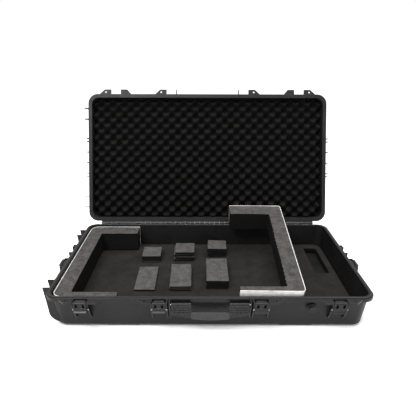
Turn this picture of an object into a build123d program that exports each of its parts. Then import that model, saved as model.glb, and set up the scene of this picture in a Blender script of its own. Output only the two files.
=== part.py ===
from build123d import *
import os
from math import cos, radians, sin

# Long hard transport case for a fixed-wing drone, shown open.
# Frame: X to the right, Y to the back, Z up. Origin on the ground under the middle of the tray.
# All lengths in millimetres.

os.makedirs("parts", exist_ok=True)

# ---------------------------------------------------------------- driving dimensions
FLANGE_L = 1150.0  # tray flange, left to right
FLANGE_W = 617.0  # tray flange, front to back
FLANGE_T = 14.0  # flange height
FLANGE_R = 44.0  # flange corner radius
RIM_Z = 136.0  # top of the tray flange
UNDER_Z = 8.0  # underside of the tray, above the skids
FLOOR_Z = 12.5  # inside floor of the tray
WALL_INSET_TOP = 11.0  # flange edge to the outer wall, at the rim
WALL_INSET_LOW = 22.0  # flange edge to the outer wall, at the underside
CAVITY_INSET_TOP = 15.0  # flange edge to the inner wall, at the rim
CAVITY_INSET_LOW = 25.5  # flange edge to the inner wall, at the floor

LID_GAP = 2.0  # rim to rim when shut, taken up by the gasket
LID_EXTRA_L = 7.0  # the lid flange is this much longer than the tray flange
LID_DEPTH = 60.0
LID_SKIN = 4.0
LID_INSET_CAVITY = 17.0
LID_OPEN = 110.3  # opening angle, against the stop
HINGE_BACK = 9.0  # hinge axis behind the flange

FOAM_FLOOR_Z = 40.0  # top of the floor foam
FRAME_TOP_Z = 130.0  # top of a seated foam frame
FOAM_GAP = 0.8  # floor and lid foam to wall
FRAME_GAP = 5.5  # loose frame to wall

LATCH_X = (-444.5, -175.5, 175.5, 444.5)  # front latches
SIDE_LATCH_Y = -54.0  # end latches
LATCH_W = 46.0
FIN_T = 4.0

WHEEL_R = 30.0
WHEEL_W = 38.0
WHEEL_X = -565.0
WHEEL_Z = 44.0
WHEEL_Y = 214.0  # each side of the middle
AXLE_R = 4.0

FRONT = -FLANGE_W / 2
LEFT = -FLANGE_L / 2
HINGE_Y = FLANGE_W / 2 + HINGE_BACK
HINGE_Z = RIM_Z + LID_GAP

# ---------------------------------------------------------------- the lid's own directions
# Lid coordinates: x, then s from the hinge axis towards the lid's front edge, then n outwards.
OPEN = radians(LID_OPEN)
LID_S = (0, -cos(OPEN), sin(OPEN))
LID_IN = (0, -sin(OPEN), -cos(OPEN))
LID = Plane(origin=(0, HINGE_Y, HINGE_Z), x_dir=(1, 0, 0), z_dir=LID_IN)
LID_L = FLANGE_L + LID_EXTRA_L
LID_MID_S = HINGE_BACK + FLANGE_W / 2
LID_FRONT_S = HINGE_BACK + FLANGE_W


def lid_level(n):
    """Plane parallel to the lid's rim, n outwards of it."""
    return LID.offset(-n)


def lid_side(x):
    """Plane across the lid at x, with coordinates (s, n)."""
    origin = (x, HINGE_Y, HINGE_Z)
    return Plane(origin=origin, x_dir=LID_S, z_dir=(-1, 0, 0))


def finish(piece, name):
    """Label a finished piece and write its file."""
    piece.label = name
    export_step(piece, "parts/" + name + ".step")


def tray_inset(z):
    """Flange edge to the inner wall of the tray at height z."""
    share = (RIM_Z - z) / (RIM_Z - FLOOR_Z)
    return CAVITY_INSET_TOP + (CAVITY_INSET_LOW - CAVITY_INSET_TOP) * share


def tray_outline(plane, z, inset, radius):
    """Rounded outline of the tray at height z, inset from the flange edge."""
    with BuildSketch(plane.offset(z)) as outline:
        RectangleRounded(FLANGE_L - 2 * inset, FLANGE_W - 2 * inset, radius)
    return outline.sketch


def tray_fill(plane, low, high, gap, radius=32):
    """Bottom and top outlines of a piece that fills the tray from low to high, less a gap."""
    return [tray_outline(plane, z, tray_inset(z) + gap, radius) for z in (low, high)]


def wall_frame(place):
    """Plane on the flange's outer face at an end or the front: x along it, y up, z outwards."""
    kind, where = place
    if kind == "front":
        return Plane(origin=(where, FRONT, 0), x_dir=(1, 0, 0), z_dir=(0, -1, 0))
    if kind == "left":
        return Plane(origin=(LEFT, where, 0), x_dir=(0, -1, 0), z_dir=(-1, 0, 0))
    return Plane(origin=(-LEFT, where, 0), x_dir=(0, 1, 0), z_dir=(1, 0, 0))


def across(frame, along):
    """Plane square to a wall frame, with coordinates (outwards, up)."""
    origin = frame.from_local_coords((along, 0, 0))
    return Plane(origin=origin, x_dir=frame.z_dir, z_dir=-frame.x_dir)


def tray_fin(frame, along, out, low):
    """Side outline of an upright fin under the flange, proud of it by out, running down to low."""
    with BuildSketch(across(frame, along)) as profile:
        Polygon(
            (-15, RIM_Z - 2),
            (out, RIM_Z - 2),
            (out, RIM_Z - 16),
            (0, low + 22),
            (-13, low),
            (-17, low),
            align=None,
        )
    return profile.sketch


# ---------------------------------------------------------------- tray
LATCH_PLACES = [("front", x) for x in LATCH_X]
LATCH_PLACES += [("left", SIDE_LATCH_Y), ("right", SIDE_LATCH_Y)]
FIN_OFFSET = LATCH_W / 2 + 3.5
LUG_T = 7.0
LUG_OUT = 22.0
LUG_HOLE_R = 4.5
LUG_HOLE_OUT = 10.0
SKID_X = 311.0
SKID_L = 128.0
FOOT_R = 35.0
VALVE_X = 355.0
VALVE_Z = 92.0
VALVE_R = 18.0
WELL_HALF = 25.0
HANDLE_HALF = 134.0
HANDLE_PIN_Z = 122.0
HANDLE_PIN_OUT = 14.0
PULL_HALF = 95.0
PULL_PIN_Z = 58.0
PULL_PIN_OUT = -6.0
LATCH_PIN_Z = 100.0
LATCH_PIN_OUT = 11.0
PIN_R = 2.5
PIN_PLAY = 0.06


def lug(near, far, foot, hole):
    """Outline of a flat padlock lug on the front, from near to far, sloping back to foot."""
    with BuildSketch(Plane(origin=(0, FRONT, RIM_Z - 2), z_dir=(0, 0, 1))) as outline:
        Polygon((near, 8), (near, -LUG_OUT), (far, -LUG_OUT), (foot, 0), (foot, 8), align=None)
        if hole is not None:
            with Locations((hole, -LUG_HOLE_OUT)):
                Circle(LUG_HOLE_R, mode=Mode.SUBTRACT)
    return outline.sketch


with BuildPart() as base_shell:
    low_outline = tray_outline(Plane.XY, UNDER_Z, WALL_INSET_LOW, 38)
    loft([low_outline, tray_outline(Plane.XY, RIM_Z, WALL_INSET_TOP, 40)])
    fillet(base_shell.edges().group_by(Axis.Z)[0], 9)
    with BuildSketch(Plane.XY.offset(RIM_Z - FLANGE_T)):
        RectangleRounded(FLANGE_L, FLANGE_W, FLANGE_R)
    extrude(amount=FLANGE_T)
    fillet(base_shell.edges().group_by(Axis.Z)[-1], 2.5)

    # two broad stacking skids under the tray
    with BuildSketch(Plane.XZ.offset(-275)):
        for side in (-1, 1):
            with Locations((side * SKID_X, 0)):
                Polygon(
                    (-SKID_L / 2 + 7, 0),
                    (SKID_L / 2 - 7, 0),
                    (SKID_L / 2, UNDER_Z),
                    (SKID_L / 2, UNDER_Z + 3),
                    (-SKID_L / 2, UNDER_Z + 3),
                    (-SKID_L / 2, UNDER_Z),
                    align=None,
                )
    extrude(amount=550)

    # foot under the middle, so that the long floor can't sag
    with BuildSketch(Plane.XY):
        Circle(FOOT_R)
    extrude(amount=UNDER_Z + 3)

    # latch bays: a fin each side
    for place in LATCH_PLACES:
        frame = wall_frame(place)
        out, low = (21.0, 46.0) if place[0] == "front" else (15.0, 72.0)
        for side in (-1, 1):
            extrude(tray_fin(frame, side * FIN_OFFSET, out, low), amount=FIN_T / 2, both=True)
    # more fins on the ends, in pairs with those of the lid
    for kind in ("left", "right"):
        for y in (-94.0, 24.0, 75.0, 90.0):
            extrude(tray_fin(wall_frame((kind, y)), 0, 13.0, 70), amount=FIN_T / 2, both=True)
    # padlock lugs beside the latches, and plain lugs inboard of the outer ones
    for x in LATCH_X:
        side = 1 if x > 0 else -1
        outer_lug = lug(x + side * (FIN_OFFSET - 1), x + side * 54, x + side * 79, x + side * 49.5)
        extrude(outer_lug, amount=-LUG_T)
        if abs(x) > 300:
            inner_lug = lug(x - side * (FIN_OFFSET - 1), x - side * 55, x - side * 74, None)
            extrude(inner_lug, amount=-LUG_T)
    # upright cheeks either side of the carrying handle
    for side in (-1, 1):
        cheek = tray_fin(wall_frame(("front", side * (HANDLE_HALF + 4.5))), 0, 22.0, 46)
        extrude(cheek, amount=FIN_T / 2, both=True)
    # cheeks of the pull handle at the right-hand end
    for side in (-1, 1):
        with BuildSketch(across(wall_frame(("right", side * (PULL_HALF + 5))), 0)):
            with BuildLine():
                pin_out, pin_z = PULL_PIN_OUT, PULL_PIN_Z
                Polyline((-20, pin_z + 14), (pin_out, pin_z + 8))
                ThreePointArc((pin_out, pin_z + 8), (pin_out + 8, pin_z), (pin_out, pin_z - 8))
                Polyline((pin_out, pin_z - 8), (-21, pin_z - 20), (-20, pin_z + 14))
            make_face()
        extrude(amount=4, both=True)
    # round boss of the pressure valve
    with BuildSketch(Plane(origin=(VALVE_X, FRONT + 20, VALVE_Z), z_dir=(0, -1, 0))):
        Circle(VALVE_R)
    extrude(amount=14)

    # wheel housings: a rounded corner block, then a fin each side of the wheel
    for side in (-1, 1):
        # these planes' y runs down, so heights go in negative
        with BuildSketch(Plane(origin=(0, side * 266, 0), x_dir=(1, 0, 0), z_dir=(0, 1, 0))):
            with BuildLine():
                Polyline((-530, -RIM_Z + 14), (LEFT + 1, -RIM_Z + 14), (LEFT + 4, -66))
                ThreePointArc((LEFT + 4, -66), (LEFT + 14, -38), (-540, -24))
                Polyline((-540, -24), (-530, -24), (-530, -RIM_Z + 14))
            make_face()
        extrude(amount=20, both=True)
        for y in (WHEEL_Y - 26, WHEEL_Y + 26):
            with BuildSketch(Plane(origin=(0, side * y, 0), x_dir=(1, 0, 0), z_dir=(0, 1, 0))):
                low_x = WHEEL_X - 27
                with BuildLine():
                    Polyline((-540, -RIM_Z + 2), (LEFT - 26, -RIM_Z + 2), (LEFT - 21, -85))
                    Line((LEFT - 21, -85), (low_x, -WHEEL_Z))
                    ThreePointArc((low_x, -WHEEL_Z), (WHEEL_X - 19, -WHEEL_Z + 19), (WHEEL_X, -17))
                    Polyline((WHEEL_X, -17), (-540, -17), (-540, -RIM_Z + 2))
                make_face()
            extrude(amount=2, both=True)

    # inside of the tray
    loft(tray_fill(Plane.XY, FLOOR_Z, RIM_Z, 0), mode=Mode.SUBTRACT)

    # wheel wells, closed off from the inside by a box
    for side in (-1, 1):
        with BuildSketch(Plane.XY.offset(FLOOR_Z - 2)):
            with Locations((-543, side * WHEEL_Y)):
                Rectangle(26, 2 * WELL_HALF + 6)
        extrude(amount=70)
        with BuildSketch(Plane.XY.offset(UNDER_Z - 1)):
            with Locations((-567, side * WHEEL_Y)):
                Rectangle(68, 2 * WELL_HALF - 2)
        extrude(amount=71, mode=Mode.SUBTRACT)

    # gasket groove round the top of the flange
    with BuildSketch(Plane.XY.offset(RIM_Z)):
        RectangleRounded(FLANGE_L - 11, FLANGE_W - 11, FLANGE_R - 5.5)
        RectangleRounded(FLANGE_L - 19, FLANGE_W - 19, FLANGE_R - 9.5, mode=Mode.SUBTRACT)
    extrude(amount=-3, mode=Mode.SUBTRACT)

    # bores: wheel axles, latch pins, handle pins
    for side in (-1, 1):
        with BuildSketch(Plane(origin=(WHEEL_X, side * WHEEL_Y, WHEEL_Z), z_dir=(0, 1, 0))):
            Circle(AXLE_R)
        extrude(amount=30, both=True, mode=Mode.SUBTRACT)
    for place in LATCH_PLACES:
        frame = wall_frame(place)
        with BuildSketch(across(frame, 0)):
            with Locations((LATCH_PIN_OUT, LATCH_PIN_Z)):
                Circle(PIN_R)
        extrude(amount=FIN_OFFSET + 4, both=True, mode=Mode.SUBTRACT)
    for side in (-1, 1):
        with BuildSketch(across(wall_frame(("front", side * (HANDLE_HALF + 4.5))), 0)):
            with Locations((HANDLE_PIN_OUT, HANDLE_PIN_Z)):
                Circle(PIN_R)
        extrude(amount=3, both=True, mode=Mode.SUBTRACT)
        with BuildSketch(across(wall_frame(("right", side * (PULL_HALF + 5))), 0)):
            with Locations((PULL_PIN_OUT, PULL_PIN_Z)):
                Circle(PIN_R)
        extrude(amount=5, both=True, mode=Mode.SUBTRACT)
    # bore of the pressure valve
    with BuildSketch(Plane(origin=(VALVE_X, FRONT, VALVE_Z), z_dir=(0, 1, 0))):
        Circle(9)
    extrude(amount=40, mode=Mode.SUBTRACT)
finish(base_shell.part, "base_shell")

with BuildPart() as gasket:
    with BuildSketch(Plane.XY.offset(RIM_Z - 3)):
        RectangleRounded(FLANGE_L - 11.4, FLANGE_W - 11.4, FLANGE_R - 5.7)
        RectangleRounded(FLANGE_L - 18.6, FLANGE_W - 18.6, FLANGE_R - 9.3, mode=Mode.SUBTRACT)
    extrude(amount=4.6)
finish(gasket.part, "gasket")

# ---------------------------------------------------------------- hinge
KNUCKLE_PITCH = 48.0
KNUCKLE_L = 23.2
KNUCKLE_R = 6.2
HINGE_HALF = 522.0
N_BASE_KNUCKLES = 22


def knuckles(count):
    """Middle positions of a row of knuckles, centred on x = 0."""
    return [KNUCKLE_PITCH * (i - (count - 1) / 2) for i in range(count)]


with BuildPart() as hinge_leaf_base:
    with BuildSketch(Plane.YZ):
        with Locations((FLANGE_W / 2 + 1.5, RIM_Z - 8)):
            Rectangle(3, 10)
    extrude(amount=HINGE_HALF, both=True)
    for x in knuckles(N_BASE_KNUCKLES):
        with BuildSketch(Plane.YZ.offset(x)):
            with Locations((HINGE_Y, HINGE_Z)):
                Circle(KNUCKLE_R)
            Polygon(
                (FLANGE_W / 2 + 1, RIM_Z - 3.5),
                (FLANGE_W / 2 + 1, RIM_Z - 12),
                (HINGE_Y + 5.5, HINGE_Z - 2.5),
                (HINGE_Y - 5.5, HINGE_Z - 2.5),
                align=None,
            )
        extrude(amount=KNUCKLE_L / 2, both=True)
    with BuildSketch(Plane.YZ):
        with Locations((HINGE_Y, HINGE_Z)):
            Circle(PIN_R + PIN_PLAY)
    extrude(amount=HINGE_HALF + 5, both=True, mode=Mode.SUBTRACT)
finish(hinge_leaf_base.part, "hinge_leaf_base")

with BuildPart() as hinge_leaf_lid:
    with BuildSketch(lid_side(0)):
        with Locations((HINGE_BACK - 1.5, 8)):
            Rectangle(3, 10)
    extrude(amount=HINGE_HALF - 4, both=True)
    for x in knuckles(N_BASE_KNUCKLES - 1):
        with BuildSketch(lid_side(x)):
            Circle(KNUCKLE_R)
            Polygon(
                (HINGE_BACK - 1, 3.5),
                (HINGE_BACK - 1, 12),
                (-5.5, 2.5),
                (5.5, 2.5),
                align=None,
            )
        extrude(amount=KNUCKLE_L / 2, both=True)
    with BuildSketch(lid_side(0)):
        Circle(PIN_R + PIN_PLAY)
    extrude(amount=HINGE_HALF + 5, both=True, mode=Mode.SUBTRACT)
finish(hinge_leaf_lid.part, "hinge_leaf_lid")

with BuildPart() as hinge_pin:
    with BuildSketch(Plane.YZ):
        with Locations((HINGE_Y, HINGE_Z)):
            Circle(PIN_R)
    extrude(amount=HINGE_HALF, both=True)
finish(hinge_pin.part, "hinge_pin")

# ---------------------------------------------------------------- lid
LID_CAVITY = LID_DEPTH - LID_SKIN


def lid_fin(x, low_s, out, depth):
    """Side outline of a fin on the lid's front edge, proud of it by out."""
    with BuildSketch(lid_side(x)) as profile:
        Polygon((low_s - 16, 1), (low_s + out, 1), (low_s + out, 12), (low_s - 16, depth), align=None)
    return profile.sketch


def lid_lug(near, far, foot, hole):
    """Outline of a flat lug on the lid's front edge that meets the lug of the tray."""
    with BuildSketch(lid_level(1)) as outline:
        front = LID_FRONT_S
        points = [(near, front - 8), (near, front + LUG_OUT), (far, front + LUG_OUT)]
        Polygon(*points, (foot, front), (foot, front - 8), align=None)
        if hole is not None:
            with Locations((hole, front + LUG_HOLE_OUT)):
                Circle(LUG_HOLE_R, mode=Mode.SUBTRACT)
    return outline.sketch


def lid_end_fin(side, y_shut, out):
    """Outline of a fin on one end of the lid, across from the tray fin at y_shut."""
    edge = side * LID_L / 2
    middle = LID.from_local_coords((0, HINGE_Y - y_shut, 0))
    # this plane's coordinates are (x, n)
    with BuildSketch(Plane(origin=middle, x_dir=(1, 0, 0), z_dir=LID_S)) as profile:
        Polygon(
            (edge - side * 16, 1),
            (edge + side * out, 1),
            (edge + side * out, 10),
            (edge - side * 16, 46),
            align=None,
        )
    return profile.sketch


def lid_rect(inset, n, radius):
    """Rounded outline of the lid at depth n, inset from the flange edge."""
    with BuildSketch(lid_level(n)) as outline:
        with Locations((0, LID_MID_S)):
            RectangleRounded(LID_L - 2 * inset, FLANGE_W - 2 * inset, radius)
    return outline.sketch


with BuildPart() as lid_shell:
    loft([lid_rect(13, 0, 42), lid_rect(22, LID_DEPTH, 36)])
    far_edges = lid_shell.edges().filter_by(
        lambda e: abs(LID.to_local_coords(e.center()).Z + LID_DEPTH) < 0.01
    )
    fillet(far_edges, 10)
    extrude(lid_rect(0, 0, 46), amount=-FLANGE_T)
    # stiffening bars moulded on the outside
    with BuildSketch(lid_level(LID_DEPTH - 1)):
        for x in (-SKID_X - 110, -SKID_X + 110, SKID_X - 110, SKID_X + 110):
            with Locations((x, LID_MID_S)):
                SlotOverall(470, 26, rotation=90)
        with Locations((0, LID_MID_S)):
            SlotOverall(470, 26, rotation=90)
    extrude(amount=-5)
    for x in LATCH_X:
        side = 1 if x > 0 else -1
        near = x + side * 23.5
        extrude(lid_lug(near, x + side * 54, x + side * 79, x + side * 49.5), amount=-LUG_T)
        if abs(x) > 300:
            extrude(lid_lug(x - side * 23.5, x - side * 55, x - side * 74, None), amount=-LUG_T)
        else:
            extrude(lid_fin(x - side * 24, LID_FRONT_S, LUG_OUT, 44), amount=FIN_T / 2, both=True)
    for side in (-1, 1):
        for y in (-94.0, -79.5, -28.0, 24.0, 75.0, 90.0):
            extrude(lid_end_fin(side, y, 11), amount=FIN_T / 2, both=True)
    for y in (-WHEEL_Y - 26, -WHEEL_Y + 26, WHEEL_Y - 26, WHEEL_Y + 26):
        extrude(lid_end_fin(-1, y, 20), amount=FIN_T / 2, both=True)
    cavity = [lid_rect(LID_INSET_CAVITY, 0, 34), lid_rect(LID_INSET_CAVITY + 8, LID_CAVITY, 30)]
    loft(cavity, mode=Mode.SUBTRACT)
finish(lid_shell.part, "lid_shell")

LID_FOAM_LOW = 14.0
with BuildPart() as lid_foam:
    foam_levels = (LID_FOAM_LOW, LID_CAVITY - 0.5)
    loft([lid_rect(LID_INSET_CAVITY + 8 * n / LID_CAVITY + FOAM_GAP, n, 34) for n in foam_levels])
finish(lid_foam.part, "lid_foam")

# ---------------------------------------------------------------- floor foam
POCKET_X = (464.0, 522.0)
POCKET_Y = (21.0, 244.0)


with BuildSketch(Plane.XY.offset(FLOOR_Z - 2)) as well_notches:
    for side in (-1, 1):
        with Locations((-543, side * WHEEL_Y)):
            Rectangle(30, 2 * WELL_HALF + 10)


with BuildPart() as floor_foam:
    loft(tray_fill(Plane.XY, FLOOR_Z + 0.3, FOAM_FLOOR_Z, FOAM_GAP))
    with BuildSketch(Plane.XY.offset(FLOOR_Z)):
        with Locations(((POCKET_X[0] + POCKET_X[1]) / 2, (POCKET_Y[0] + POCKET_Y[1]) / 2)):
            Rectangle(POCKET_X[1] - POCKET_X[0], POCKET_Y[1] - POCKET_Y[0])
    extrude(amount=40, mode=Mode.SUBTRACT)
    extrude(well_notches.sketch, amount=73, mode=Mode.SUBTRACT)
finish(floor_foam.part, "floor_foam")

# ---------------------------------------------------------------- foam frames
FRAME_START = 326.0  # how far from the middle of the case the arms of a seated frame start
FRAME_LONG_BACK = 9.0  # the back arm of the right-hand frame is this much longer
FRAME_SIDE = 60.0  # width of the end arm
FRAME_BACK = 72.0  # width of the back arm
FRAME_FRONT = 25.0  # width of the front arm
FRAME_SHIFT = 218.0  # the propped frame is this far left of its seat
FRAME_TILT = 9.0  # propped up at the back
FRAME_YAW = -0.8
FRAME_REST_Y = 12.0
FRAME_REST_Z = 73.0


def c_outline(plane, side):
    """Outline of a C-shaped frame open to the middle; side is -1 for left and 1 for right."""
    outer = FLANGE_L / 2 - tray_inset(FRAME_TOP_Z) - FRAME_GAP
    back = FLANGE_W / 2 - tray_inset(FRAME_TOP_Z) - FRAME_GAP
    with BuildSketch(plane.offset(FOAM_FLOOR_Z)) as outline:
        with Locations((side * 500, 0)):
            Rectangle(2 * (500 - FRAME_START), FLANGE_W)
        if side > 0:
            with Locations((500, FLANGE_W / 4)):
                Rectangle(2 * (500 - FRAME_START + FRAME_LONG_BACK), FLANGE_W / 2)
        low_y, high_y = -back + FRAME_FRONT, back - FRAME_BACK
        with Locations((side * (outer - FRAME_SIDE - 160), (low_y + high_y) / 2)):
            Rectangle(320, high_y - low_y, mode=Mode.SUBTRACT)
    return outline.sketch


with BuildPart() as foam_frame_left:
    loft(tray_fill(Plane.XY, FOAM_FLOOR_Z + 0.5, FRAME_TOP_Z, FRAME_GAP))
    extrude(c_outline(Plane.XY, -1), amount=FRAME_TOP_Z, mode=Mode.INTERSECT)
    extrude(well_notches.sketch, amount=73, mode=Mode.SUBTRACT)
finish(foam_frame_left.part, "foam_frame_left")

yaw = radians(FRAME_YAW)
tilt = radians(FRAME_TILT)
frame_mid = 441.5
frame_x_dir = Vector(cos(yaw), sin(yaw), 0)
frame_z_dir = Vector(sin(tilt) * sin(yaw), -sin(tilt) * cos(yaw), cos(tilt))
frame_origin = Vector(frame_mid - FRAME_SHIFT, FRAME_REST_Y, FRAME_REST_Z) - frame_x_dir * frame_mid
PROPPED = Plane(origin=frame_origin, x_dir=frame_x_dir, z_dir=frame_z_dir)
with BuildPart() as foam_frame_right:
    loft(tray_fill(PROPPED, FOAM_FLOOR_Z + 0.5, FRAME_TOP_Z, FRAME_GAP, radius=14))
    extrude(c_outline(PROPPED, 1), amount=FRAME_TOP_Z, mode=Mode.INTERSECT)
finish(foam_frame_right.part, "foam_frame_right")

# ---------------------------------------------------------------- loose foam pads
# Each stack: middle x, front edge y, width, depth, then its pads from the bottom: thickness,
# how far each is slid in x and y, and how far it is turned.
STACKS = {
    "pad_stack_1": (-254, 103, 84, 90, ((6, 0, 0, 0), (26, 1, 0, 0.6))),
    "pad_stack_2": (-107, 114, 88, 90, ((11, -3, 2, 0.8), (11, 3, 0, -0.5), (11, -2, 1, 0.6), (12.5, 3, 0, 0))),
    "pad_stack_3": (43, 151, 86, 86, ((22, 0, 3, 0), (22, 1, 0, -2.0))),
    "pad_stack_4": (-256, -124, 84, 176, ((9, 0, 0, 0.4),)),
    "pad_stack_5": (-114, -121, 86, 174, ((7, 2, 1, -0.4), (7, -2, 0, 0.8), (8, 0, 0, 1.2))),
    "pad_stack_6": (36, -107, 90, 180, ((19, -1, 2, 0), (19, 0, 0, -0.5))),
}


for name, (middle_x, front_y, width, depth, layers) in STACKS.items():
    level = FOAM_FLOOR_Z + 0.3
    with BuildPart() as stack:
        for thick, dx, dy, turn in layers:
            with BuildSketch(Plane.XY.offset(level)):
                with Locations((middle_x + dx, front_y + depth / 2 + dy)):
                    Rectangle(width, depth, rotation=turn)
            extrude(amount=thick)
            level += thick
    finish(stack.part, name)

# ---------------------------------------------------------------- latches
LEVER_OUT = (12.0, 20.0)  # back and front of the lever's plate
LEVER_LOW = 92.0
LEVER_TOP = 133.0
# Each latch: a lever with a window, a top bar and a bottom lip, turning on its pin, and a
# hook folded behind the lever that reaches over the lid's flange when the case is shut.
for number, place in enumerate(LATCH_PLACES, start=1):
    frame = wall_frame(place)
    back, front = LEVER_OUT
    half = LATCH_W / 2
    with BuildPart() as lever:
        with BuildSketch(frame.offset(back)):
            with Locations((0, (LEVER_LOW + LEVER_TOP) / 2)):
                RectangleRounded(LATCH_W, LEVER_TOP - LEVER_LOW, 3)
            with Locations((0, 118)):
                RectangleRounded(LATCH_W - 13, 15, 2, mode=Mode.SUBTRACT)
        extrude(amount=front - back)
        # top bar and bottom lip stand a little proud
        with BuildSketch(across(frame, 0)):
            with Locations((front, LEVER_TOP - 3.5)):
                Circle(3)
            Polygon(
                (front - 2, LEVER_LOW),
                (front + 4, LEVER_LOW - 1),
                (front + 4, LEVER_LOW + 2),
                (front - 2, LEVER_LOW + 7),
                align=None,
            )
        extrude(amount=half - 2, both=True)
        # thumb pad across the window
        with BuildSketch(frame.offset(back + 2)):
            with Locations((0, 118)):
                RectangleRounded(15, 17, 2)
        extrude(amount=5)
        # knuckles round the pin
        for side in (-1, 1):
            with BuildSketch(across(frame, side * (half - 5))):
                with Locations((LATCH_PIN_OUT, LATCH_PIN_Z)):
                    Circle(5)
            extrude(amount=4.5, both=True)
        with BuildSketch(across(frame, 0)):
            with Locations((LATCH_PIN_OUT, LATCH_PIN_Z)):
                Circle(PIN_R + PIN_PLAY)
        extrude(amount=half + 1, both=True, mode=Mode.SUBTRACT)
    finish(lever.part, "latch_lever_" + str(number))
    with BuildPart() as hook:
        with BuildSketch(across(frame, 0)):
            Polygon(
                (8, 107),
                (11.8, 107),
                (11.8, 127),
                (8, 131.5),
                (3, 131.5),
                (3, 127.5),
                (6.5, 127.5),
                (8, 125),
                align=None,
            )
        extrude(amount=half - 7, both=True)
        with BuildSketch(frame):
            with Locations((0, 117.5)):
                Rectangle(LATCH_W - 30, 9)
        extrude(amount=15, mode=Mode.SUBTRACT)
    finish(hook.part, "latch_hook_" + str(number))

with BuildPart() as latch_pins:
    for place in LATCH_PLACES:
        with BuildSketch(across(wall_frame(place), 0)):
            with Locations((LATCH_PIN_OUT, LATCH_PIN_Z)):
                Circle(PIN_R)
        extrude(amount=FIN_OFFSET + 2, both=True)
finish(latch_pins.part, "latch_pins")

# ---------------------------------------------------------------- carrying handle
ARM_INNER = 66.0
HANDLE_BACK = 9.0
HANDLE_FRONT = 22.0
GRIP_TOP = 93.0
GRIP_END_Z = 78.0
GRIP_SAG = 16.0
CORE_T = 5.0
front_mid = wall_frame(("front", 0))


def bowed_bar(half, top, end_z, sag):
    """Bar outline with a straight top and a lower edge that sags in the middle."""
    with BuildLine() as outline:
        Polyline((half, end_z), (half, top), (-half, top), (-half, end_z))
        ThreePointArc((-half, end_z), (0, end_z - sag), (half, end_z))
    return outline.line


with BuildPart() as carry_handle:
    for side in (-1, 1):
        with BuildSketch(front_mid.offset(HANDLE_BACK)):
            with Locations((side * (ARM_INNER + HANDLE_HALF) / 2, (GRIP_END_Z + HANDLE_PIN_Z + 2) / 2)):
                RectangleRounded(HANDLE_HALF - ARM_INNER, HANDLE_PIN_Z + 2 - GRIP_END_Z, 4)
        extrude(amount=HANDLE_FRONT - HANDLE_BACK - 4)
        # four upright fingers with cross notches, as on a comb
        with BuildSketch(front_mid.offset(HANDLE_FRONT - 5)):
            with Locations((side * (ARM_INNER + HANDLE_HALF) / 2, 104)):
                with GridLocations(16, 9.5, 4, 4):
                    RectangleRounded(10, 6.5, 1.5)
        extrude(amount=5)
        # knuckle on the pin
        with BuildSketch(across(front_mid, side * (ARM_INNER + HANDLE_HALF) / 2)):
            with Locations((HANDLE_PIN_OUT, HANDLE_PIN_Z)):
                Circle(6)
        extrude(amount=(HANDLE_HALF - ARM_INNER) / 2, both=True)
    # thin core of the grip, under the rubber
    with BuildSketch(front_mid.offset(HANDLE_BACK + 4)):
        make_face(bowed_bar(HANDLE_HALF - 3, GRIP_TOP - 3, GRIP_END_Z + 2, GRIP_SAG - 3))
    extrude(amount=CORE_T)
    with BuildSketch(across(front_mid, 0)):
        with Locations((HANDLE_PIN_OUT, HANDLE_PIN_Z)):
            Circle(PIN_R + PIN_PLAY)
    extrude(amount=HANDLE_HALF + 2, both=True, mode=Mode.SUBTRACT)
finish(carry_handle.part, "carry_handle")

with BuildPart() as handle_grip:
    with BuildSketch(front_mid.offset(HANDLE_BACK)):
        make_face(bowed_bar(ARM_INNER - 0.5, GRIP_TOP, GRIP_END_Z - 12, GRIP_SAG - 11))
    extrude(amount=HANDLE_FRONT - HANDLE_BACK)
    long_edges = handle_grip.edges().filter_by(lambda e: e.length > ARM_INNER)
    fillet(long_edges, 4)
    add(carry_handle.part, mode=Mode.SUBTRACT)
finish(handle_grip.part, "handle_grip")

with BuildPart() as handle_pins:
    for side in (-1, 1):
        with BuildSketch(across(front_mid, side * (ARM_INNER + HANDLE_HALF + 6.5) / 2)):
            with Locations((HANDLE_PIN_OUT, HANDLE_PIN_Z)):
                Circle(PIN_R)
        extrude(amount=(HANDLE_HALF + 6.5 - ARM_INNER) / 2, both=True)
finish(handle_pins.part, "handle_pins")

# ---------------------------------------------------------------- pull handle on the right-hand end
right_mid = wall_frame(("right", 0))
PULL_DROP = 42.0
PULL_T = 7.0
with BuildPart() as pull_handle:
    with BuildSketch(right_mid.offset(PULL_PIN_OUT - PULL_T / 2)):
        with Locations((0, PULL_PIN_Z + 5 - (PULL_DROP + 5) / 2)):
            RectangleRounded(2 * PULL_HALF, PULL_DROP + 5, 12)
        with Locations((0, PULL_PIN_Z + 12 - (PULL_DROP - 6) / 2)):
            RectangleRounded(2 * PULL_HALF - 30, PULL_DROP - 6, 8, mode=Mode.SUBTRACT)
        with Locations((0, PULL_PIN_Z + 4)):
            Rectangle(2 * PULL_HALF - 30, 10, mode=Mode.SUBTRACT)
    extrude(amount=PULL_T)
    for side in (-1, 1):
        with BuildSketch(across(right_mid, side * (PULL_HALF - 7.5))):
            with Locations((PULL_PIN_OUT, PULL_PIN_Z)):
                Circle(6)
        extrude(amount=7.5, both=True)
    with BuildSketch(across(right_mid, 0)):
        with Locations((PULL_PIN_OUT, PULL_PIN_Z)):
            Circle(PIN_R + PIN_PLAY)
    extrude(amount=PULL_HALF + 2, both=True, mode=Mode.SUBTRACT)
finish(pull_handle.part, "pull_handle")

with BuildPart() as pull_grip:
    with BuildSketch(across(right_mid, 0)):
        with Locations((PULL_PIN_OUT, PULL_PIN_Z - PULL_DROP + 6.5)):
            RectangleRounded(13, 16, 5)
    extrude(amount=PULL_HALF - 24, both=True)
    add(pull_handle.part, mode=Mode.SUBTRACT)
finish(pull_grip.part, "pull_grip")

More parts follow.
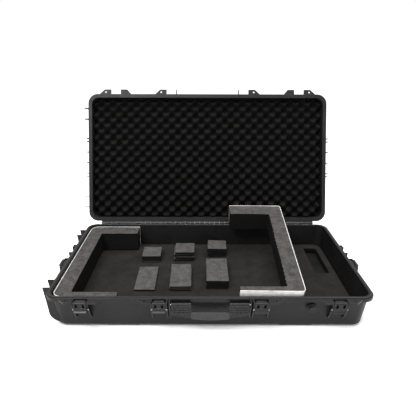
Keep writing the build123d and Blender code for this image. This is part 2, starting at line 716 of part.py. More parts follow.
with BuildPart() as pull_pins:
    for side in (-1, 1):
        with BuildSketch(across(right_mid, side * (PULL_HALF - 3))):
            with Locations((PULL_PIN_OUT, PULL_PIN_Z)):
                Circle(PIN_R)
        extrude(amount=11.5, both=True)
finish(pull_pins.part, "pull_pins")

# ---------------------------------------------------------------- pressure valve
valve_plane = Plane(origin=(VALVE_X, FRONT + 6, VALVE_Z), z_dir=(0, -1, 0))
with BuildPart() as valve_body:
    with BuildSketch(valve_plane):
        Circle(13)
    extrude(amount=3)
    with BuildSketch(valve_plane):
        Circle(9)
    extrude(amount=-26)
    with BuildSketch(valve_plane.offset(3)):
        Circle(5)
    extrude(amount=-4, mode=Mode.SUBTRACT)
finish(valve_body.part, "valve_body")

with BuildPart() as valve_knob:
    with BuildSketch(valve_plane.offset(3.2)):
        Circle(10)
        with PolarLocations(10, 12):
            Circle(1.3, mode=Mode.SUBTRACT)
    extrude(amount=5)
    with BuildSketch(valve_plane.offset(3.5)):
        Circle(4.9)
    extrude(amount=-3.5)
    with BuildSketch(valve_plane.offset(8.2)):
        Rectangle(14, 2.4)
    extrude(amount=-1.5, mode=Mode.SUBTRACT)
finish(valve_knob.part, "valve_knob")

# ---------------------------------------------------------------- wheels
for number, side in ((1, -1), (2, 1)):
    hub_plane = Plane(origin=(WHEEL_X, side * WHEEL_Y, WHEEL_Z), z_dir=(0, 1, 0))
    with BuildPart() as tyre:
        with BuildSketch(hub_plane):
            Circle(WHEEL_R)
            Circle(21, mode=Mode.SUBTRACT)
        extrude(amount=WHEEL_W / 2, both=True)
        fillet(tyre.edges().filter_by(lambda e: e.length > 180), 4)
    finish(tyre.part, "wheel_tyre_" + str(number))
    with BuildPart() as hub:
        with BuildSketch(hub_plane):
            Circle(21)
        extrude(amount=WHEEL_W / 2 - 2, both=True)
        for end in (-1, 1):
            with BuildSketch(hub_plane.offset(end * (WHEEL_W / 2 - 2))):
                Circle(17.5)
                Circle(9, mode=Mode.SUBTRACT)
            extrude(amount=-end * 9, mode=Mode.SUBTRACT)
            with BuildSketch(hub_plane.offset(end * (WHEEL_W / 2 - 2))):
                with PolarLocations(13, 6):
                    Rectangle(11, 3)
            extrude(amount=-end * 9.5)
        with BuildSketch(hub_plane):
            Circle(AXLE_R + PIN_PLAY)
        extrude(amount=WHEEL_W, both=True, mode=Mode.SUBTRACT)
    finish(hub.part, "wheel_hub_" + str(number))

with BuildPart() as wheel_axles:
    for side in (-1, 1):
        with BuildSketch(Plane(origin=(WHEEL_X, side * WHEEL_Y, WHEEL_Z), z_dir=(0, 1, 0))):
            Circle(AXLE_R)
        extrude(amount=28, both=True)
finish(wheel_axles.part, "wheel_axles")
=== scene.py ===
"""Looks of the long hard transport case: foam, moulded plastic, light and camera."""

import math

import bmesh
import bpy
from mathutils import Matrix, Vector, noise


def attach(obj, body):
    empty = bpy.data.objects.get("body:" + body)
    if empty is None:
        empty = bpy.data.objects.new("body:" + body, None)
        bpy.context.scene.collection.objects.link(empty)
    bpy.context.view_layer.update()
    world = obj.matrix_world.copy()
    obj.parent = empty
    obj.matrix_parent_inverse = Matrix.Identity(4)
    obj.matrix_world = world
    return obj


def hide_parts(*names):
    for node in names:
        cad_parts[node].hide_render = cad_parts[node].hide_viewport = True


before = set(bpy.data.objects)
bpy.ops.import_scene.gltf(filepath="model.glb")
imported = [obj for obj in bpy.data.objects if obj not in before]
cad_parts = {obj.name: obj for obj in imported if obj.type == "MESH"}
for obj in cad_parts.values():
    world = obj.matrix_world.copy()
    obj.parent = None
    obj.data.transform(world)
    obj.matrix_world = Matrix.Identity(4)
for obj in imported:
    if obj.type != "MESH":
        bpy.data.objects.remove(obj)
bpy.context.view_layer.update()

MM = 0.001

# ---------------------------------------------------------------- sizes shared with the part, in mm
FLANGE_L = 1150.0
FLANGE_W = 617.0
RIM_Z = 136.0
FLOOR_Z = 12.5
INSET_RIM = 15.0
INSET_FLOOR = 25.5
FOAM_GAP = 0.8
FRAME_GAP = 5.5
CORNER_R = 32.0
PROPPED_CORNER_R = 14.0
FOAM_FLOOR_Z = 40.0
FRAME_LOW_Z = 40.5
FRAME_TOP_Z = 130.0
FRAME_START = 326.0
FRAME_LONG_BACK = 9.0
FRAME_SIDE = 60.0
FRAME_BACK = 72.0
FRAME_FRONT = 25.0
FRAME_SEAT_X = 441.5
FRAME_SHIFT = 218.0
FRAME_TILT = math.radians(9.0)
FRAME_YAW = math.radians(-0.8)
FRAME_REST_Y = 12.0
FRAME_REST_Z = 73.0
SKIN = 1.5
SKIN_LAP = 0.6  # how far the film reaches into the foam
SEAM_DROP = 9.0  # from the top of a frame to its first seam
SEAM_PITCH = 30.0
SEAM_HALF = 1.2
SEAM_DEPTH = 1.1
SEAMS = 3
WELL_Y = 214.0
WELL_HALF = 30.0
WELL_X = -528.0
WELL_TOP = 83.5
WELL_CUT = (-543, 31)  # middle x and length of the cut for a wheel well in the floor foam
POCKET = (464.0, 522.0, 21.0, 244.0)  # x from and to, y from and to
CUTTER_H = 90
CUTTER_Z = 30
PAD_CORNER_R = 1.5

LID_OPEN = math.radians(110.3)
LID_HINGE = Vector((0.0, 317.5, 138.0))
LID_S = Vector((0, -math.cos(LID_OPEN), math.sin(LID_OPEN)))
LID_OUT = Vector((0, math.sin(LID_OPEN), math.cos(LID_OPEN)))
LID_L = 1157.0
LID_MID_S = 9.0 + FLANGE_W / 2
LID_CAVITY = 56.0
LID_INSET = 17.0
LID_DRAFT = 8.0

# middle x, front edge y, width, depth, then each pad: thickness, slid in x and y, turned
STACKS = {
    "pad_stack_1": (-254, 103, 84, 90, ((6, 0, 0, 0), (26, 1, 0, 0.6))),
    "pad_stack_2": (
        -107,
        114,
        88,
        90,
        ((11, -3, 2, 0.8), (11, 3, 0, -0.5), (11, -2, 1, 0.6), (12.5, 3, 0, 0)),
    ),
    "pad_stack_3": (43, 151, 86, 86, ((22, 0, 3, 0), (22, 1, 0, -2.0))),
    "pad_stack_4": (-256, -124, 84, 176, ((9, 0, 0, 0.4),)),
    "pad_stack_5": (-114, -121, 86, 174, ((7, 2, 1, -0.4), (7, -2, 0, 0.8), (8, 0, 0, 1.2))),
    "pad_stack_6": (36, -107, 90, 180, ((19, -1, 2, 0), (19, 0, 0, -0.5))),
}


# ---------------------------------------------------------------- materials
class Shader:
    """A new material and short ways to add and join its nodes."""

    def __init__(self, name):
        self.material = bpy.data.materials.new(name)
        self.material.use_nodes = True
        self.tree = self.material.node_tree
        self.surface = self.tree.nodes["Principled BSDF"]
        self.place = self.add("ShaderNodeTexCoord").outputs["Object"]

    def add(self, kind, **values):
        node = self.tree.nodes.new(kind)
        for key, value in values.items():
            setattr(node, key, value)
        return node

    def link(self, source, target):
        self.tree.links.new(source, target)

    def noise(self, scale, detail=3.0, roughness=0.5, stretch=None):
        node = self.add("ShaderNodeTexNoise")
        node.inputs["Scale"].default_value = scale
        node.inputs["Detail"].default_value = detail
        node.inputs["Roughness"].default_value = roughness
        place = self.place
        if stretch is not None:
            mapping = self.add("ShaderNodeMapping")
            mapping.inputs["Scale"].default_value = stretch
            self.link(place, mapping.inputs["Vector"])
            place = mapping.outputs["Vector"]
        self.link(place, node.inputs["Vector"])
        return node.outputs["Fac"]

    def cells(self, scale):
        node = self.add("ShaderNodeTexVoronoi")
        node.inputs["Scale"].default_value = scale
        self.link(self.place, node.inputs["Vector"])
        return node.outputs["Distance"]

    def spread(self, value, low, high, to_low, to_high):
        node = self.add("ShaderNodeMapRange")
        self.link(value, node.inputs["Value"])
        node.inputs["From Min"].default_value = low
        node.inputs["From Max"].default_value = high
        node.inputs["To Min"].default_value = to_low
        node.inputs["To Max"].default_value = to_high
        return node.outputs["Result"]

    def math(self, operation, a, b):
        node = self.add("ShaderNodeMath", operation=operation)
        for socket, value in zip(node.inputs, (a, b)):
            if isinstance(value, (int, float)):
                socket.default_value = value
            else:
                self.link(value, socket)
        return node.outputs["Value"]

    def mix(self, share, a, b):
        node = self.add("ShaderNodeMix", data_type="RGBA")
        self.link(share, node.inputs["Factor"])
        for key, value in (("A", a), ("B", b)):
            socket = [s for s in node.inputs if s.name == key and s.type == "RGBA"][0]
            if isinstance(value, tuple):
                socket.default_value = (*value, 1.0)
            else:
                self.link(value, socket)
        return [s for s in node.outputs if s.type == "RGBA"][0]

    def bump(self, height, depth, strength, normal=None):
        node = self.add("ShaderNodeBump")
        node.inputs["Distance"].default_value = depth
        node.inputs["Strength"].default_value = strength
        self.link(height, node.inputs["Height"])
        if normal is not None:
            self.link(normal, node.inputs["Normal"])
        return node.outputs["Normal"]

    def soft_edge(self, radius):
        """Rounded normal at sharp edges, and a mask that is 1 on those edges."""
        bevel = self.add("ShaderNodeBevel", samples=4)
        bevel.inputs["Radius"].default_value = radius
        geometry = self.add("ShaderNodeNewGeometry")
        dot = self.add("ShaderNodeVectorMath", operation="DOT_PRODUCT")
        self.link(bevel.outputs["Normal"], dot.inputs[0])
        self.link(geometry.outputs["Normal"], dot.inputs[1])
        mask = self.spread(dot.outputs["Value"], 0.995, 0.86, 0.0, 1.0)
        return bevel.outputs["Normal"], mask

    def set(self, **values):
        for key, value in values.items():
            self.surface.inputs[key.replace("_", " ")].default_value = value

    def drive(self, **sources):
        for key, source in sources.items():
            self.link(source, self.surface.inputs[key.replace("_", " ")])


def moulded_plastic(name, dark, light, edge, rough, grain=0.00014):
    """Black polypropylene with a moulded grain, paler along its edges as scuffs and as a painted edge
    highlight.
    """
    m = Shader(name)
    rounded, edges = m.soft_edge(0.0011)
    mottle = m.spread(m.noise(9.0, 4.0), 0.35, 0.65, 0.0, 1.0)
    body = m.mix(mottle, dark, light)
    # edge mask times noise: paler scuffs and a painted highlight along the edges
    edge_wear_and_highlight = m.math("MULTIPLY", edges, m.spread(m.noise(60.0, 5.0, 0.7), 0.38, 0.62, 0.25, 1.0))
    m.drive(Base_Color=m.mix(edge_wear_and_highlight, body, edge))
    m.drive(Roughness=m.spread(m.noise(35.0, 4.0, 0.6), 0.3, 0.7, rough - 0.06, rough + 0.08))
    pebble = m.math("ADD", m.cells(900.0), m.noise(1500.0, 2.0))
    m.drive(Normal=m.bump(pebble, grain, 0.55, rounded))
    m.set(Specular_IOR_Level=0.23)
    return m.material


def rubber(name, colour, rough):
    """Matt rubber with fine bloom, paler along its edges as wear and as a painted edge highlight."""
    m = Shader(name)
    rounded, edges = m.soft_edge(0.0009)
    bloom = m.spread(m.noise(70.0, 5.0, 0.7), 0.3, 0.7, 0.0, 1.0)
    pale = tuple(c * 1.9 + 0.006 for c in colour)
    # edges get a pale grey: wear and a painted edge highlight
    colour_with_edge_wear_and_highlight = m.mix(m.math("MULTIPLY", edges, 0.6), m.mix(bloom, colour, pale), (0.09, 0.09, 0.092))
    m.drive(Base_Color=colour_with_edge_wear_and_highlight)
    m.drive(Roughness=m.spread(m.noise(40.0, 3.0), 0.3, 0.7, rough - 0.08, rough + 0.06))
    height = m.noise(900.0, 3.0, 0.6)
    m.drive(Normal=m.bump(height, 0.0001, 0.6, rounded))
    return m.material


def steel(name):
    """Plated steel pin with fine turning marks along X."""
    m = Shader(name)
    rounded = m.soft_edge(0.0004)[0]
    marks = m.noise(40.0, 4.0, 0.6, stretch=(60.0, 1.0, 1.0))
    bright = m.spread(marks, 0.3, 0.7, 0.0, 1.0)
    m.drive(Base_Color=m.mix(bright, (0.34, 0.34, 0.35), (0.62, 0.62, 0.63)))
    m.drive(Roughness=m.spread(marks, 0.3, 0.7, 0.24, 0.42))
    m.drive(Normal=m.bump(marks, 0.00005, 0.5, rounded))
    m.set(Metallic=1.0)
    return m.material


def foam(name, dark, light, side, cell=420.0, mottle=38.0, layered=True):
    """Closed-cell foam: mottled felt-like cut top that is lighter as painted light, sides darker as
    painted shade, with faint extrusion lines.
    """
    m = Shader(name)
    clouds = m.spread(m.noise(mottle, 6.0, 0.72), 0.36, 0.64, 0.0, 1.0)
    specks = m.spread(m.noise(cell, 3.0, 0.7), 0.35, 0.68, 0.0, 1.0)
    half_clouds, half_specks = m.math("MULTIPLY", clouds, 0.5), m.math("MULTIPLY", specks, 0.5)
    top = m.mix(m.math("ADD", half_clouds, half_specks), dark, light)
    # colour by facing: faces turned up get the lit top colour, other faces the darker side colour as
    # painted shade
    normal = m.add("ShaderNodeNewGeometry").outputs["Normal"]
    split = m.add("ShaderNodeSeparateXYZ")
    m.link(normal, split.inputs[0])
    up = m.spread(split.outputs["Z"], 0.25, 0.85, 0.0, 1.0)
    painted_shade_sides = m.mix(specks, tuple(c * 0.75 for c in side), side)
    m.drive(Base_Color=m.mix(up, painted_shade_sides, top))
    height = m.math("ADD", m.cells(cell), m.noise(cell * 1.7, 4.0, 0.7))
    bumpy = m.bump(height, 0.00035, 0.8)
    if layered:
        lines = m.noise(30.0, 2.0, 0.5, stretch=(0.05, 0.05, 14.0))
        bumpy = m.bump(lines, 0.0009, 0.5, bumpy)
    m.drive(Normal=bumpy)
    m.set(Roughness=0.95, Specular_IOR_Level=0.06)
    return m.material


def white_skin(name):
    """Pale laminated film on the outside of the frames, slightly creased."""
    m = Shader(name)
    dirt = m.spread(m.noise(55.0, 5.0, 0.65), 0.42, 0.75, 0.0, 1.0)
    m.drive(Base_Color=m.mix(dirt, (0.66, 0.65, 0.63), (0.42, 0.41, 0.39)))
    m.drive(Roughness=m.spread(m.noise(90.0, 3.0), 0.3, 0.7, 0.42, 0.6))
    m.drive(Normal=m.bump(m.noise(160.0, 4.0, 0.6), 0.0003, 0.5))
    return m.material


def paint_floor(name):
    """Plain pale paper sweep."""
    m = Shader(name)
    m.drive(Base_Color=m.mix(m.noise(3.0, 2.0), (0.93, 0.93, 0.93), (0.95, 0.95, 0.95)))
    m.set(Roughness=0.9, Specular_IOR_Level=0.1)
    return m.material


# the third colour of each plastic is its edge colour, for scuffs and a painted edge highlight
CASE = moulded_plastic(
    "case_plastic", (0.0036, 0.0035, 0.0036), (0.0062, 0.0060, 0.0061), (0.075, 0.073, 0.073), 0.44
)
LATCH = moulded_plastic(
    "latch_plastic", (0.004, 0.004, 0.0045), (0.0065, 0.0065, 0.007), (0.11, 0.11, 0.11), 0.3, 0.0001
)
HINGE = moulded_plastic(
    "hinge_plastic", (0.014, 0.014, 0.0145), (0.034, 0.034, 0.035), (0.2, 0.2, 0.2), 0.32, 0.0001
)
SEAL = rubber("seal_rubber", (0.004, 0.004, 0.0042), 0.6)
GRIP = rubber("grip_rubber", (0.0032, 0.0032, 0.0033), 0.6)
TYRE = rubber("wheel_tyre", (0.006, 0.006, 0.0062), 0.6)
STEEL = steel("pin_steel")
# the third colour of each foam is its side colour, darkened as painted shade
LID_FOAM = foam(
    "lid_foam",
    (0.0025, 0.0025, 0.0024),
    (0.012, 0.0115, 0.011),
    (0.003, 0.003, 0.003),
    cell=520.0,
    layered=False,
)
FRAME_FOAM = foam(
    "frame_foam", (0.016, 0.0148, 0.0142), (0.085, 0.080, 0.077), (0.0075, 0.007, 0.0068)
)
PAD_FOAM = foam(
    "pad_foam", (0.026, 0.0245, 0.0236), (0.088, 0.084, 0.081), (0.0085, 0.008, 0.0078)
)
FLOOR_FOAM = foam(
    "floor_foam",
    (0.0085, 0.0078, 0.0072),
    (0.022, 0.0205, 0.019),
    (0.006, 0.0056, 0.0052),
    cell=380.0,
    mottle=16.0,
)
WHITE = white_skin("white_skin")

NODE_MATERIALS = {
    "base_shell": CASE,
    "lid_shell": CASE,
    "valve_body": CASE,
    "carry_handle": LATCH,
    "pull_handle": LATCH,
    "valve_knob": LATCH,
    "hinge_leaf_base": HINGE,
    "hinge_leaf_lid": HINGE,
    "gasket": SEAL,
    "handle_grip": GRIP,
    "pull_grip": GRIP,
}


def dress_cad():
    """Give every CAD piece that stays visible its procedural material."""
    for name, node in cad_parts.items():
        if name.startswith(("latch_lever", "latch_hook", "wheel_hub")):
            material = LATCH
        elif name.startswith("wheel_tyre"):
            material = TYRE
        elif "pin" in name or "axle" in name:
            material = STEEL
        else:
            material = NODE_MATERIALS.get(name, FRAME_FOAM)
        for slot in node.material_slots:
            slot.material = material
        if not node.material_slots:
            node.data.materials.append(material)


# ---------------------------------------------------------------- mesh helpers
def new_piece(name, mesh, material, smooth=True):
    """Object in the scene from a bmesh in millimetres."""
    bmesh.ops.scale(mesh, vec=(MM, MM, MM), verts=mesh.verts)
    bmesh.ops.recalc_face_normals(mesh, faces=mesh.faces)
    data = bpy.data.meshes.new(name)
    mesh.to_mesh(data)
    mesh.free()
    data.materials.append(material)
    for face in data.polygons:
        face.use_smooth = smooth
    piece = bpy.data.objects.new(name, data)
    bpy.context.scene.collection.objects.link(piece)
    return piece


def apply_modifiers(piece):
    """Replace a piece's mesh with what its modifiers make of it."""
    bpy.context.view_layer.update()
    graph = bpy.context.evaluated_depsgraph_get()
    made = bpy.data.meshes.new_from_object(piece.evaluated_get(graph))
    piece.modifiers.clear()
    piece.data = made
    for face in made.polygons:
        face.use_smooth = True


def soften(piece, voxel, rounds, dent, seed):
    """Remesh a foam block evenly, round its cut edges, and let its faces rise and dip a little."""
    remesh = piece.modifiers.new("remesh", "REMESH")
    remesh.mode = "VOXEL"
    remesh.voxel_size = voxel * MM
    smooth = piece.modifiers.new("smooth", "SMOOTH")
    smooth.factor = 0.5
    smooth.iterations = rounds
    apply_modifiers(piece)
    offset = Vector((seed * 13.7, seed * 5.1, seed * 2.3))
    # all normals are read before any point moves, because each move makes Blender work them out again
    normals = [vertex.normal.copy() for vertex in piece.data.vertices]
    moved = []
    for vertex, normal in zip(piece.data.vertices, normals):
        swell = noise.noise(vertex.co * 28.0 + offset) + 0.5 * noise.noise(vertex.co * 75.0 + offset)
        moved.extend(vertex.co + normal * swell * dent * MM)
    piece.data.vertices.foreach_set("co", moved)
    piece.data.update()


def prism(outlines):
    """Closed solid through outlines of equal length, each a list of points in mm."""
    mesh = bmesh.new()
    rings = [[mesh.verts.new(p) for p in outline] for outline in outlines]
    count = len(rings[0])
    for low, high in zip(rings, rings[1:]):
        for i in range(count):
            j = (i + 1) % count
            mesh.faces.new((low[i], low[j], high[j], high[i]))
    caps = [mesh.faces.new(list(reversed(rings[0]))), mesh.faces.new(rings[-1])]
    bmesh.ops.triangulate(mesh, faces=caps, ngon_method="EAR_CLIP")
    return mesh


def arc(cx, cy, radius, start, end, steps=8):
    """Points on an arc, angles in degrees."""
    points = []
    for i in range(steps + 1):
        a = math.radians(start + (end - start) * i / steps)
        points.append((cx + radius * math.cos(a), cy + radius * math.sin(a)))
    return points


def tray_half(z, gap):
    """Half length and half width of the inside of the tray at height z, less a gap."""
    inset = INSET_RIM + (INSET_FLOOR - INSET_RIM) * (RIM_Z - z) / (RIM_Z - FLOOR_Z) + gap
    return FLANGE_L / 2 - inset, FLANGE_W / 2 - inset


def rounded_box(half_x, half_y, radius, steps=8):
    """Points of a rounded rectangle, anticlockwise from the right front corner."""
    x, y = half_x - radius, half_y - radius
    points = arc(x, -y, radius, -90, 0, steps) + arc(x, y, radius, 0, 90, steps)
    return points + arc(-x, y, radius, 90, 180, steps) + arc(-x, -y, radius, 180, 270, steps)


# ---------------------------------------------------------------- foam frames
def frame_shape(side):
    """Corner radius and extra length of the back arm of one frame."""
    return (CORNER_R, 0.0) if side < 0 else (PROPPED_CORNER_R, FRAME_LONG_BACK)


def outer_wall(side, z, skin):
    """Outer edge of a frame, from its front tip to its back tip, skin inside the wall."""
    corner, longer = frame_shape(side)
    half_x, half_y = tray_half(z, FRAME_GAP)
    half_x, half_y, radius = half_x - skin, half_y - skin, corner - skin
    x, y = half_x - radius, half_y - radius
    edge = [(FRAME_START, -half_y)] + arc(x, -y, radius, -90, 0) + arc(x, y, radius, 0, 90)
    return edge + [(FRAME_START - longer, half_y)]


def inner_wall(side):
    """Inner edge of a frame, from its back tip round to its front tip."""
    longer = frame_shape(side)[1]
    half_x, half_y = tray_half(FRAME_TOP_Z, FRAME_GAP)
    end, back, front = half_x - FRAME_SIDE, half_y - FRAME_BACK, -half_y + FRAME_FRONT
    return [(FRAME_START - longer, back), (end, back), (end, front), (FRAME_START, front)]


def frame_body(side):
    """Foam body of a frame in its seat at the right-hand end."""
    levels = (FRAME_LOW_Z, FRAME_TOP_Z)
    return prism([[(x, y, z) for x, y in outer_wall(side, z, SKIN) + inner_wall(side)] for z in levels])


def frame_skin(side):
    """White film round the outside of a frame, with the seams between its foam layers."""
    seams = [FRAME_TOP_Z - SEAM_DROP - SEAM_PITCH * k for k in range(SEAMS)]
    levels = [(FRAME_LOW_Z, 0.7)]
    for seam in reversed(seams):
        levels += [(seam - SEAM_HALF, 0.0), (seam, SEAM_DEPTH), (seam + SEAM_HALF, 0.0)]
    levels.append((FRAME_TOP_Z + 0.2, 0.3))
    mesh = bmesh.new()
    outside, inside = [], []
    for z, dip in levels:
        outside.append([mesh.verts.new((x, y, z)) for x, y in outer_wall(side, z, dip)])
        inside.append([mesh.verts.new((x, y, z)) for x, y in outer_wall(side, z, SKIN + SKIN_LAP)])
    count = len(outside[0])
    for out_low, out_high, in_low, in_high in zip(outside, outside[1:], inside, inside[1:]):
        for i in range(count - 1):
            mesh.faces.new((out_low[i], out_low[i + 1], out_high[i + 1], out_high[i]))
            mesh.faces.new((in_low[i + 1], in_low[i], in_high[i], in_high[i + 1]))
        for i in (0, count - 1):
            mesh.faces.new((in_low[i], out_low[i], out_high[i], in_high[i]))
    for i in range(count - 1):
        mesh.faces.new((inside[0][i], inside[0][i + 1], outside[0][i + 1], outside[0][i]))
        mesh.faces.new((outside[-1][i], outside[-1][i + 1], inside[-1][i + 1], inside[-1][i]))
    return mesh


def propped():
    """Where the right-hand frame lies: shifted left, raised and tipped up at the back."""
    turn = Matrix.Rotation(FRAME_YAW, 3, "Z") @ Matrix.Rotation(FRAME_TILT, 3, "X")
    seat = Vector((FRAME_SEAT_X - FRAME_SHIFT, FRAME_REST_Y, FRAME_REST_Z))
    along = Vector((math.cos(FRAME_YAW), math.sin(FRAME_YAW), 0)) * FRAME_SEAT_X
    return Matrix.Translation(seat - along) @ turn.to_4x4()


def notch_wells(mesh):
    """Press the outer side of the left frame back to clear the wheel wells."""
    for vertex in mesh.vertices:
        x, y, z = vertex.co / MM
        if x < WELL_X and z < WELL_TOP and abs(abs(y) - WELL_Y) < WELL_HALF:
            vertex.co.x = WELL_X * MM


def make_frame(side, body):
    """Foam body and white skin of one frame; side is -1 for left and 1 for right."""
    name = "foam_frame_left" if side < 0 else "foam_frame_right"
    place = Matrix.Scale(-1, 4, (1, 0, 0)) if side < 0 else propped()
    core_mesh, skin_mesh = frame_body(side), frame_skin(side)
    core_mesh.transform(place)
    skin_mesh.transform(place)
    core = new_piece(name + "_foam", core_mesh, FRAME_FOAM)
    soften(core, 3.6, 3, 0.45, 3 + side)
    skin = new_piece(name + "_skin", skin_mesh, WHITE, smooth=False)
    if side < 0:
        notch_wells(core.data)
        notch_wells(skin.data)
    for piece in (core, skin):
        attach(piece, body)
        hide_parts(name)


# ---------------------------------------------------------------- floor foam and loose pads
def make_floor_foam():
    """Floor sheet, cut out for a slot and for the wheel wells."""
    outlines = []
    for z in (FLOOR_Z + 0.4, FOAM_FLOOR_Z - 0.2):
        half_x, half_y = tray_half(z, FOAM_GAP + 0.3)
        outlines.append([(x, y, z) for x, y in rounded_box(half_x, half_y, CORNER_R)])
    floor = new_piece("floor_foam_sheet", prism(outlines), FLOOR_FOAM)
    x0, x1, y0, y1 = POCKET
    cutters = [((x0 + x1) / 2, (y0 + y1) / 2, x1 - x0, y1 - y0)]
    well_x, well_length = WELL_CUT
    cutters += [(well_x, side * WELL_Y, well_length, 2 * WELL_HALF + 1) for side in (-1, 1)]
    for x, y, length, width in cutters:
        mesh = bmesh.new()
        bmesh.ops.create_cube(mesh, size=1.0)
        bmesh.ops.scale(mesh, vec=(length, width, CUTTER_H), verts=mesh.verts)
        bmesh.ops.translate(mesh, vec=(x, y, CUTTER_Z), verts=mesh.verts)
        cutter = new_piece("cutter", mesh, FLOOR_FOAM)
        cut = floor.modifiers.new("cut", "BOOLEAN")
        cut.operation = "DIFFERENCE"
        cut.object = cutter
        apply_modifiers(floor)
        bpy.data.objects.remove(cutter)
    soften(floor, 4.5, 2, 0.25, 9)
    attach(floor, "base")
    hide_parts("floor_foam")


def make_pads():
    """Loose pads, each its own block, a little bowed and out of line."""
    for number, (name, stack) in enumerate(STACKS.items(), start=1):
        middle_x, front_y, width, depth, layers = stack
        z = FOAM_FLOOR_Z + 0.3
        for k, (thick, dx, dy, turn) in enumerate(layers, start=1):
            spin = Matrix.Rotation(math.radians(turn), 4, "Z")
            place = Matrix.Translation((middle_x + dx, front_y + depth / 2 + dy, z)) @ spin
            outline = rounded_box(width / 2 - 0.2, depth / 2 - 0.2, PAD_CORNER_R, 2)
            mesh = prism([[(x, y, h) for x, y in outline] for h in (0.15, thick - 0.15)])
            mesh.transform(place)
            pad = new_piece(f"{name}_pad_{k}", mesh, PAD_FOAM)
            soften(pad, 1.9, 2, 0.3, number * 7 + k)
            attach(pad, f"pads_{number}")
            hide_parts(name)
            z += thick


# ---------------------------------------------------------------- egg-crate foam of the lid
EGG_PITCH_X = 58.0
EGG_PITCH_S = 55.0
EGG_LOW = 47.0
EGG_HIGH = 14.5
EGG_STEP = 3.6
EGG_CORNER_R = 34.0
EGG_GROW = 1.5  # the sheet is cut this much larger all round than the deep end of the lid
EGG_BACK_GAP = 0.8


def egg_depth(x, s):
    """Depth of the egg-crate face below the lid's rim."""
    wave = math.cos(2 * math.pi * x / EGG_PITCH_X) * math.cos(2 * math.pi * s / EGG_PITCH_S)
    peak = (0.5 + 0.5 * wave) ** 0.85
    ripple = noise.noise(Vector((x, s, 0)) * 0.02) * 1.3 + noise.noise(Vector((x, s, 5)) * 0.15) * 0.35
    return EGG_LOW + (EGG_HIGH - EGG_LOW) * peak + abs(ripple)


def onto_outline(u, v, inset):
    """Point of a unit square moved onto the sheet's outline, only its corners being drawn in."""
    half_x, half_s = LID_L / 2 - inset, FLANGE_W / 2 - inset
    x, s = u * half_x, v * half_s
    over_x, over_s = abs(x) - (half_x - EGG_CORNER_R), abs(s) - (half_s - EGG_CORNER_R)
    if over_x > 0 and over_s > 0:
        drawn_in = max(over_x, over_s) / math.hypot(over_x, over_s)
        x = math.copysign(half_x - EGG_CORNER_R + over_x * drawn_in, x)
        s = math.copysign(half_s - EGG_CORNER_R + over_s * drawn_in, s)
    return x, s


def in_lid(x, s, n):
    """Point x along the hinge, s up the open lid and n into its depth."""
    return LID_HINGE + Vector((x, 0, 0)) + LID_S * s + LID_OUT * n


def make_lid_foam():
    """Convoluted foam sheet glued into the lid."""
    inset_front = LID_INSET + LID_DRAFT * EGG_HIGH / LID_CAVITY + FOAM_GAP
    inset_back = LID_INSET + LID_DRAFT + FOAM_GAP - EGG_GROW
    columns = int((LID_L - 2 * inset_front) / EGG_STEP)
    rows = int((FLANGE_W - 2 * inset_front) / EGG_STEP)
    mesh = bmesh.new()
    face, back = [], []
    for i in range(columns + 1):
        face.append([])
        back.append([])
        for j in range(rows + 1):
            x, s = onto_outline(2 * i / columns - 1, 2 * j / rows - 1, inset_back)
            s += LID_MID_S
            face[-1].append(mesh.verts.new(in_lid(x, s, egg_depth(x, s))))
            if i in (0, columns) or j in (0, rows):
                back[-1].append(mesh.verts.new(in_lid(x, s, LID_CAVITY - EGG_BACK_GAP)))
            else:
                back[-1].append(None)
    for i in range(columns):
        for j in range(rows):
            mesh.faces.new((face[i][j], face[i + 1][j], face[i + 1][j + 1], face[i][j + 1]))
    rim = [(i, 0) for i in range(columns)] + [(columns, j) for j in range(rows)]
    rim += [(i, rows) for i in range(columns, 0, -1)] + [(0, j) for j in range(rows, 0, -1)]
    for (i, j), (k, l) in zip(rim, rim[1:] + rim[:1]):
        mesh.faces.new((face[i][j], back[i][j], back[k][l], face[k][l]))
    cap = mesh.faces.new([back[i][j] for i, j in rim])
    bmesh.ops.triangulate(mesh, faces=[cap], ngon_method="EAR_CLIP")
    sheet = new_piece("egg_crate_foam", mesh, LID_FOAM)
    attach(sheet, "lid")
    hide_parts("lid_foam")


# ---------------------------------------------------------------- set, light, camera
def make_stage():
    """Paper floor just under the feet."""
    mesh = bmesh.new()
    bmesh.ops.create_grid(mesh, x_segments=2, y_segments=2, size=9000)
    bmesh.ops.translate(mesh, vec=(0, 1500, -0.5), verts=mesh.verts)
    floor = new_piece("paper_floor", mesh, paint_floor("paper"))


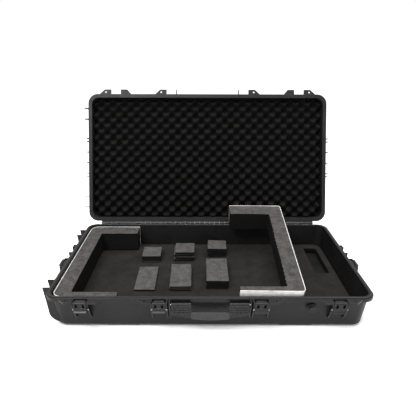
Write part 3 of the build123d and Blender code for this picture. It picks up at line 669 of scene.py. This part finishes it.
def soft_box(name, place, aim, size, power):
    """Rectangular area light at place, turned to aim."""
    light = bpy.data.lights.new(name, "AREA")
    light.shape = "RECTANGLE"
    light.size, light.size_y = size
    light.energy = power
    lamp = bpy.data.objects.new(name, light)
    bpy.context.scene.collection.objects.link(lamp)
    lamp.location = place
    lamp.rotation_mode = "QUATERNION"
    lamp.rotation_quaternion = (Vector(aim) - Vector(place)).to_track_quat("-Z", "Y")


def make_light():
    """White surroundings, two soft boxes and a wide sun."""
    world = bpy.data.worlds.new("studio")
    bpy.context.scene.world = world
    world.use_nodes = True
    sky = world.node_tree.nodes["Background"]
    sky.inputs["Color"].default_value = (1.0, 1.0, 1.0, 1.0)
    sky.inputs["Strength"].default_value = 1.02
    soft_box("key", (-1.2, -1.6, 2.6), (0, 0.1, 0.2), (1.4, 1.0), 60.0)
    soft_box("top", (0.3, 0.5, 2.9), (0, 0.1, 0.1), (2.0, 1.2), 60.0)
    sun = bpy.data.lights.new("sun", "SUN")
    sun.energy = 1.3
    sun.angle = math.radians(40)
    lamp = bpy.data.objects.new("sun", sun)
    bpy.context.scene.collection.objects.link(lamp)
    lamp.rotation_euler = (math.radians(28), math.radians(-12), 0)
    bpy.context.scene.view_settings.view_transform = "Standard"


CAMERA_PLACE = (-0.03674, -1.42964, 0.92848)
CAMERA_PITCH = math.radians(22.165)
CAMERA_YAW = math.radians(-0.065)
CAMERA_ROLL = math.radians(0.146)
CAMERA_LENS = 33.79
CAMERA_SHIFT = 0.0189


def make_camera():
    """Camera of the main view."""
    data = bpy.data.cameras.new("camera")
    data.lens = CAMERA_LENS
    data.sensor_width = 36.0
    data.shift_x = CAMERA_SHIFT
    data.clip_start = 0.05
    camera = bpy.data.objects.new("camera", data)
    bpy.context.scene.collection.objects.link(camera)
    turn = Matrix.Rotation(CAMERA_YAW, 3, "Z") @ Matrix.Rotation(math.pi / 2 - CAMERA_PITCH, 3, "X")
    turn = turn @ Matrix.Rotation(CAMERA_ROLL, 3, "Z")
    camera.rotation_mode = "QUATERNION"
    camera.rotation_quaternion = turn.to_quaternion()
    camera.location = CAMERA_PLACE
    bpy.context.scene.camera = camera


dress_cad()
make_frame(-1, "frame_left")
make_frame(1, "frame_right")
make_floor_foam()
make_pads()
make_lid_foam()
make_stage()
make_light()
make_camera()
